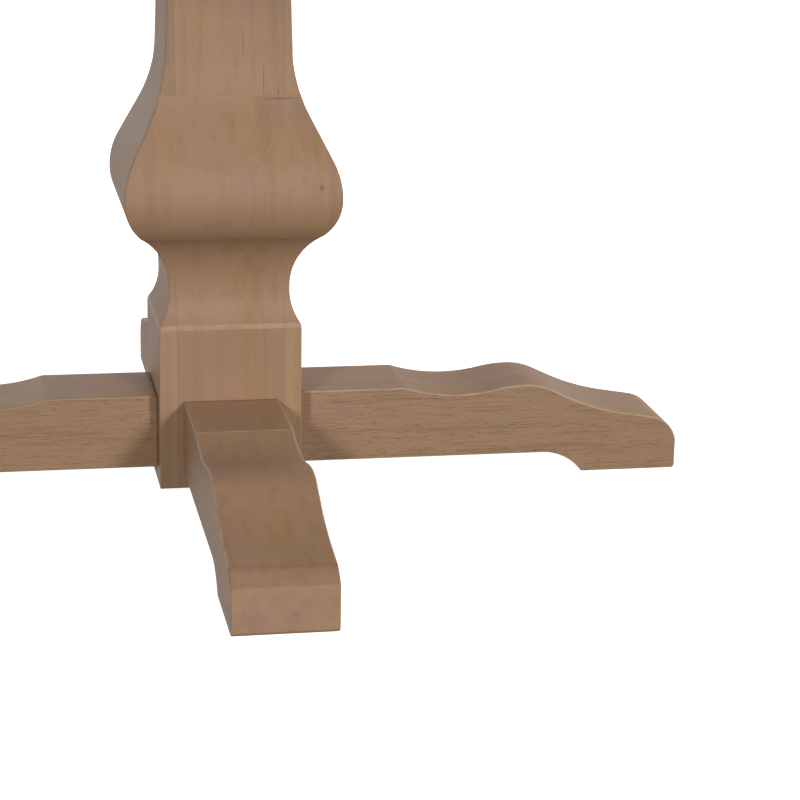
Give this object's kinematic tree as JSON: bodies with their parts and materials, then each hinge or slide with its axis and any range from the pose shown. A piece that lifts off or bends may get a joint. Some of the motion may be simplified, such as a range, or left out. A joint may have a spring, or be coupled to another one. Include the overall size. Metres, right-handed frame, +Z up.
{
  "type": "round pedestal dining table",
  "caption": "Round plank-topped dining table on a square pedestal column with a carved bulb, standing on shaped feet with levelling glides that screw out for an uneven floor.",
  "frame": {"origin": "on the floor under the middle of the column, at the bottom centre of the bounding box", "axes": "+Z up; the front foot points along -Y and the top boards run along X"},
  "size_m": [1.3716, 1.3716, 0.762],
  "materials": {
    "top_wood": "edge-glued planks in a matt tan stain, fine pores",
    "base_wood": "matt tan stain over fine-pored hardwood, lighter on worn edges",
    "inner_wood": "unstained planed hardwood",
    "steel": "bright zinc plate",
    "nylon": "satin moulded dark brown"
  },
  "bodies": {
    "table": {"top_board_1": "top_wood", "top_board_2": "top_wood", "top_board_3": "top_wood", "top_board_4": "top_wood", "top_board_5": "top_wood", "top_board_6": "top_wood", "top_board_7": "top_wood", "top_board_8": "top_wood", "top_board_9": "top_wood", "long_bearer": "inner_wood", "cross_bearer": "inner_wood", "left_batten": "inner_wood", "right_batten": "inner_wood", "column_head_block": "inner_wood", "column_foot_block": "inner_wood", "front_bearer_screw": "steel", "front_stave": "base_wood", "front_bulb_block": "base_wood", "front_foot": "base_wood", "front_foot_bolt": "steel", "front_foot_washer": "steel", "front_foot_nut": "steel", "front_foot_dowel": "inner_wood", "front_glide_sleeve": "steel", "right_bearer_screw": "steel", "right_stave": "base_wood", "right_bulb_block": "base_wood", "right_foot": "base_wood", "right_foot_bolt": "steel", "right_foot_washer": "steel", "right_foot_nut": "steel", "right_foot_dowel": "inner_wood", "right_glide_sleeve": "steel", "back_bearer_screw": "steel", "back_stave": "base_wood", "back_bulb_block": "base_wood", "back_foot": "base_wood", "back_foot_bolt": "steel", "back_foot_washer": "steel", "back_foot_nut": "steel", "back_foot_dowel": "inner_wood", "back_glide_sleeve": "steel", "left_bearer_screw": "steel", "left_stave": "base_wood", "left_bulb_block": "base_wood", "left_foot": "base_wood", "left_foot_bolt": "steel", "left_foot_washer": "steel", "left_foot_nut": "steel", "left_foot_dowel": "inner_wood", "left_glide_sleeve": "steel", "tie_rod": "steel", "tie_rod_top_washer": "steel", "tie_rod_top_nut": "steel", "tie_rod_bottom_washer": "steel", "tie_rod_bottom_nut": "steel"},
    "front_glide": {"front_glide": "nylon"},
    "right_glide": {"right_glide": "nylon"},
    "back_glide": {"back_glide": "nylon"},
    "left_glide": {"left_glide": "nylon"}
  },
  "joints": [
    {"name": "front_glide_travel", "type": "slide", "parent": "table", "child": "front_glide", "axis": [0, 0, -1], "range_m": [0, 0.008]},
    {"name": "right_glide_travel", "type": "slide", "parent": "table", "child": "right_glide", "axis": [0, 0, -1], "range_m": [0, 0.008]},
    {"name": "back_glide_travel", "type": "slide", "parent": "table", "child": "back_glide", "axis": [0, 0, -1], "range_m": [0, 0.008]},
    {"name": "left_glide_travel", "type": "slide", "parent": "table", "child": "left_glide", "axis": [0, 0, -1], "range_m": [0, 0.008]}
  ]
}
